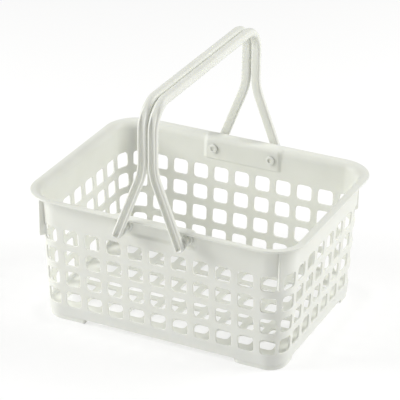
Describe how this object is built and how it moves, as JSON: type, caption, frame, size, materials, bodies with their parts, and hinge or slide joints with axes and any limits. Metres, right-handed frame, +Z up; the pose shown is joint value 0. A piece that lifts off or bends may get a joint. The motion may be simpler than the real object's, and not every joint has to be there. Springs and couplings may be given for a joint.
{
  "type": "carry basket",
  "caption": "Open perforated plastic shower caddy basket with rounded corners, a flared rim, corner feet and twin swing bail handles that meet over the middle.",
  "frame": {"origin": "on the ground plane of the four feet, under the middle of the basket", "axes": "+X along the basket's long side, +Y across it towards the back, +Z up"},
  "size_m": [0.2878, 0.2322, 0.2619],
  "materials": {
    "basket_plastic": "satin ivory polypropylene",
    "handle_plastic": "satin ivory polypropylene"
  },
  "bodies": {
    "basket": {"floor_grille": "basket_plastic", "front_wall": "basket_plastic", "back_wall": "basket_plastic", "left_wall": "basket_plastic", "right_wall": "basket_plastic", "front_pivot_panel": "basket_plastic", "back_pivot_panel": "basket_plastic", "front_rim": "basket_plastic", "back_rim": "basket_plastic", "left_rim": "basket_plastic", "right_rim": "basket_plastic", "corner_front_left": "basket_plastic", "rim_front_left": "basket_plastic", "foot_front_left": "basket_plastic", "corner_front_right": "basket_plastic", "rim_front_right": "basket_plastic", "foot_front_right": "basket_plastic", "corner_back_left": "basket_plastic", "rim_back_left": "basket_plastic", "foot_back_left": "basket_plastic", "corner_back_right": "basket_plastic", "rim_back_right": "basket_plastic", "foot_back_right": "basket_plastic"},
    "left_handle": {"left_handle": "handle_plastic"},
    "right_handle": {"right_handle": "handle_plastic"}
  },
  "joints": [
    {"name": "left_handle_swing", "type": "hinge", "parent": "basket", "child": "left_handle", "pos_m": [-0.0317, 0, 0.1234], "axis": [0, -1, 0], "range_deg": [0, 142]},
    {"name": "right_handle_swing", "type": "hinge", "parent": "basket", "child": "right_handle", "pos_m": [0.0317, 0, 0.1234], "axis": [0, 1, 0], "range_deg": [0, 142]}
  ]
}
